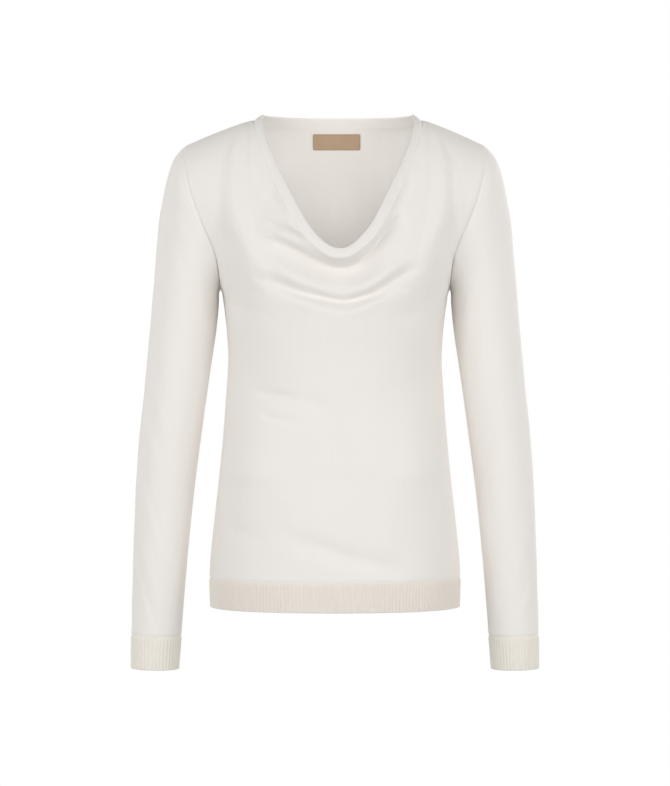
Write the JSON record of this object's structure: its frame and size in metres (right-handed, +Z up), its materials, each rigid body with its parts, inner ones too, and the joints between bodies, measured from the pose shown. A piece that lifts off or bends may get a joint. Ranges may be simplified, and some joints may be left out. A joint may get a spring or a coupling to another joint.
{
  "type": "draped sweater",
  "caption": "Long-sleeved fine-knit sweater with a draped front neck, ribbed hem and cuffs and a narrow neck band, filled out as worn.",
  "frame": {"origin": "midway between the high points of the shoulders beside the neck, at the shoulder line, where the wearer holds the garment up", "axes": "+Z up, -Y the way the wearer faces, +X to the wearer's left"},
  "size_m": [0.4932, 0.2262, 0.6654],
  "materials": {
    "knit": "cream fine jersey knit, matte",
    "rib": "cream rib knit, matte",
    "label": "tan woven tape, bare"
  },
  "bodies": {
    "root": {"front": "knit", "back": "knit", "sleeve_left": "knit", "sleeve_right": "knit", "hem_rib_front": "rib", "hem_rib_back": "rib", "cuff_left": "rib", "cuff_right": "rib", "neck_band_front": "knit", "neck_band_back": "knit", "neck_label": "label"}
  },
  "joints": []
}
